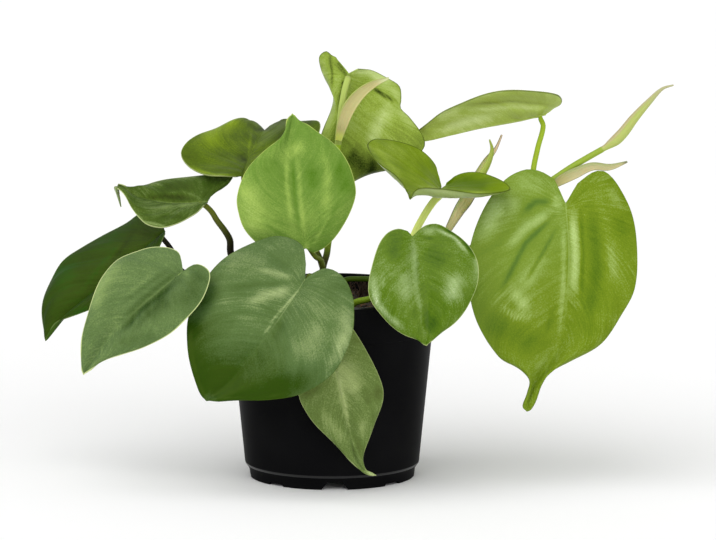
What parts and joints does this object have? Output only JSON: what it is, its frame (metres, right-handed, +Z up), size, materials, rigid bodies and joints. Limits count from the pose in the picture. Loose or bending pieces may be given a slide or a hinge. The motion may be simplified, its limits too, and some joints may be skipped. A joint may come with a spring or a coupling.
{
  "type": "potted philodendron",
  "caption": "Heart-leaf philodendron with broad heart-shaped leaves, rolled new leaves and dry sheaths, in a round black plastic nursery pot.",
  "frame": {"origin": "centre of the underside of the pot, level with its feet", "axes": "+Z up along the pot's axis; +X towards the large hanging leaf and the long rolled new leaf; -Y towards the viewer of the picture, the side that most leaves face"},
  "size_m": [0.3719, 0.1886, 0.2491],
  "materials": {
    "nursery_pot": "satin",
    "potting_soil": "matte",
    "leaf_right_large": "satin",
    "leaf_top_right": "satin",
    "leaf_top_centre": "satin",
    "leaf_upright": "satin",
    "leaf_small_curved": "satin",
    "leaf_small_glossy": "gloss",
    "leaf_front_large": "satin",
    "leaf_front_hanging": "satin",
    "leaf_left_front": "satin",
    "leaf_left_back": "satin",
    "leaf_left_mid": "satin",
    "leaf_top_left": "satin",
    "stem_left": "satin",
    "stem_front": "satin",
    "stem_centre": "satin",
    "stem_middle": "satin",
    "stem_right": "satin",
    "new_leaf_right": "satin",
    "new_leaf_middle": "satin",
    "sheath_right": "matte",
    "sheath_top": "matte",
    "sheath_middle": "matte"
  },
  "bodies": {
    "root": {"nursery_pot": "nursery_pot", "potting_soil": "potting_soil", "leaf_right_large": "leaf_right_large", "leaf_top_right": "leaf_top_right", "leaf_top_centre": "leaf_top_centre", "leaf_upright": "leaf_upright", "leaf_small_curved": "leaf_small_curved", "leaf_small_glossy": "leaf_small_glossy", "leaf_front_large": "leaf_front_large", "leaf_front_hanging": "leaf_front_hanging", "leaf_left_front": "leaf_left_front", "leaf_left_back": "leaf_left_back", "leaf_left_mid": "leaf_left_mid", "leaf_top_left": "leaf_top_left", "stem_left": "stem_left", "stem_front": "stem_front", "stem_centre": "stem_centre", "stem_middle": "stem_middle", "stem_right": "stem_right", "new_leaf_right": "new_leaf_right", "new_leaf_middle": "new_leaf_middle", "sheath_right": "sheath_right", "sheath_top": "sheath_top", "sheath_middle": "sheath_middle"}
  },
  "joints": []
}
